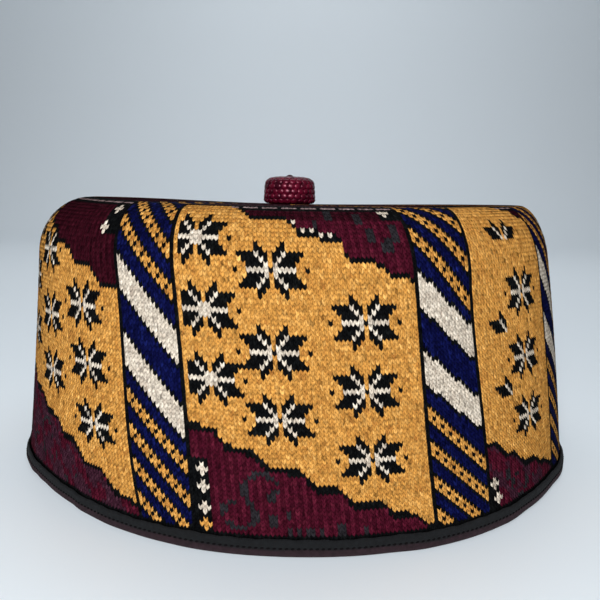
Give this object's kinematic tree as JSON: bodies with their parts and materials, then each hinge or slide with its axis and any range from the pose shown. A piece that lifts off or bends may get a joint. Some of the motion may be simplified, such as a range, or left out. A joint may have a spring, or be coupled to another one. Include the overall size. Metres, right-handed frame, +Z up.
{
  "type": "hausa cap",
  "caption": "Round knitted cap with a tapering wall, soft shoulder and nearly flat crown, a bound lower edge and a beaded knob on top, open below for the head.",
  "frame": {"origin": "on the surface the cap stands on, at the middle of its lower box face", "axes": "+Z up through the crown, -Y to the front seen in the picture, +X to its right"},
  "size_m": [0.1908, 0.19, 0.0901],
  "materials": {
    "patterned_knit": "fine ribbed knit in lustrous yarn, gold with maroon, navy, cream and black pattern",
    "binding_tape": "matt charcoal tape with a line of stitches",
    "knob_beads": "close crimson bead work with a soft shine"
  },
  "bodies": {
    "root": {"knit_shell": "patterned_knit", "hem_binding": "binding_tape", "crown_knob": "knob_beads"}
  },
  "joints": []
}
